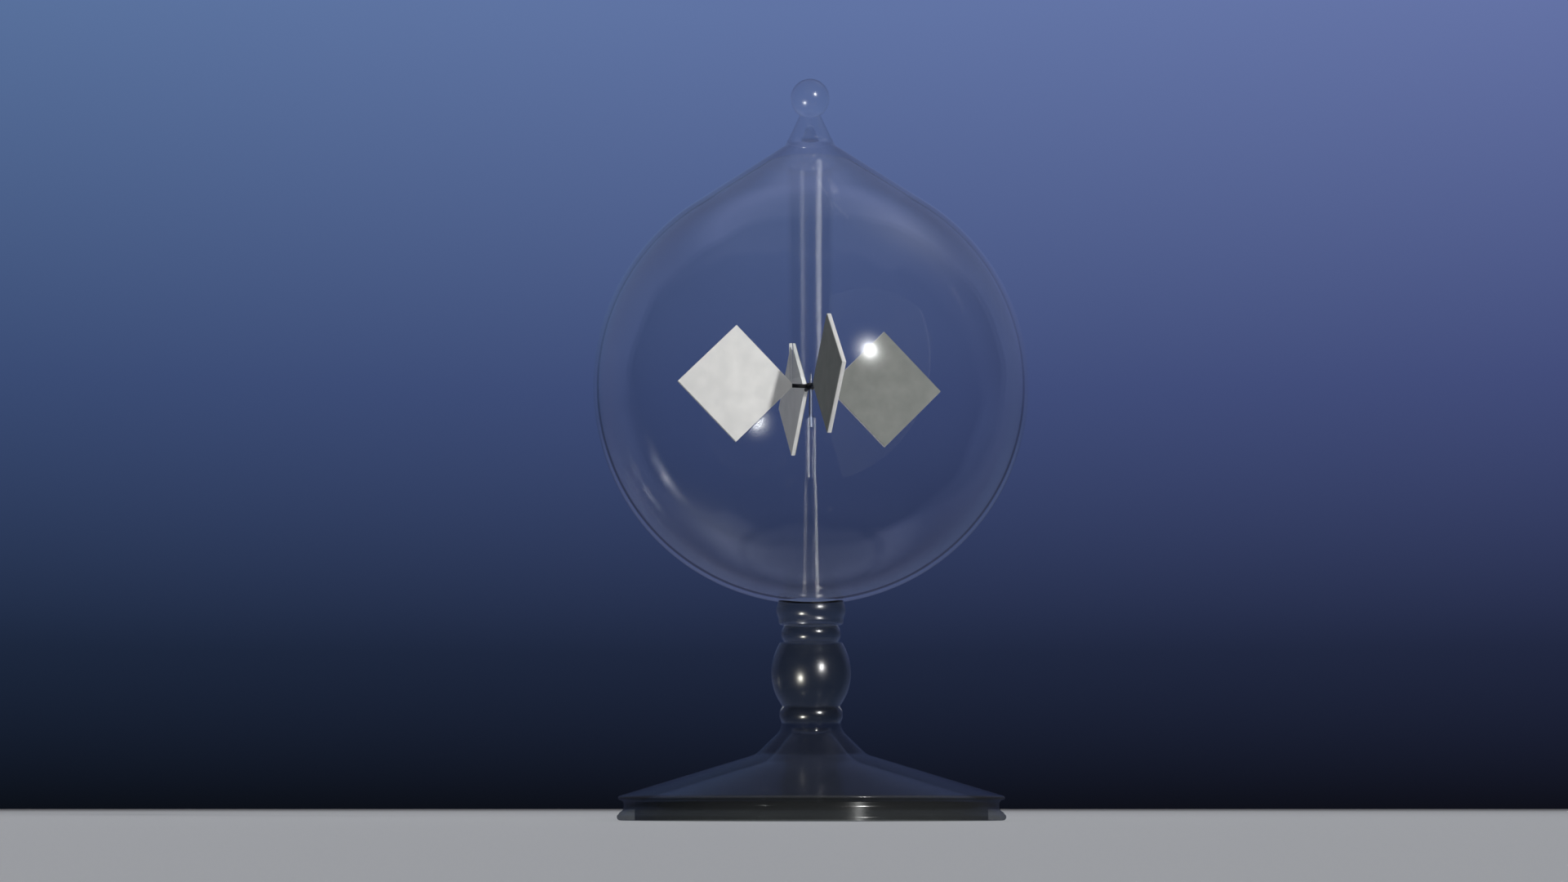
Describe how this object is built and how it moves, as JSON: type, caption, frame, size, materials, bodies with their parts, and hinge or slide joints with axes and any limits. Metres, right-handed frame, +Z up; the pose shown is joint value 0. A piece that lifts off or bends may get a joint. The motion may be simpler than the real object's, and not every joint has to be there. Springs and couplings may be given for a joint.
{
  "type": "radiometer",
  "caption": "Free-standing light mill: a vaned rotor on a needle inside an evacuated glass bulb, on a turned glass stem and a hollow glass foot.",
  "frame": {"origin": "centre of the foot's underside, on the axis that every turned piece and the rotor share", "axes": "+Z up along the rotor's axis, through the foot, the stem, the bulb and the ball on top; +X is 12.9 degrees clockwise of arm_1 seen from above"},
  "size_m": [0.08, 0.08, 0.1376],
  "materials": {
    "clear_glass": "fire-polished, clear",
    "needle_steel": "drawn and polished",
    "dark_metal": "blackened wire, satin",
    "white_vane": "matte white plate of mica or card weight",
    "lampblack": "dead matte dark coat"
  },
  "bodies": {
    "stand": {"foot": "clear_glass", "lower_ring": "clear_glass", "knop": "clear_glass", "upper_ring": "clear_glass", "bulb_collar": "clear_glass", "glass_bulb": "clear_glass", "neck_plug": "clear_glass", "exhaust_tip": "clear_glass", "finial_ball": "clear_glass", "guard_tube": "clear_glass", "support_stem": "clear_glass", "support_rod": "clear_glass", "pivot_needle": "needle_steel"},
    "rotor": {"pivot_cup": "clear_glass", "hub": "dark_metal", "arm_1": "dark_metal", "arm_2": "dark_metal", "arm_3": "dark_metal", "arm_4": "dark_metal", "vane_1": "white_vane", "vane_2": "white_vane", "vane_3": "white_vane", "vane_4": "white_vane", "lampblack_1": "lampblack", "lampblack_2": "lampblack", "lampblack_3": "lampblack", "lampblack_4": "lampblack"}
  },
  "joints": [
    {"name": "rotor_spin", "type": "hinge", "parent": "stand", "child": "rotor", "pos_m": [0, 0, 0.079], "axis": [0, 0, 1], "continuous": true}
  ]
}
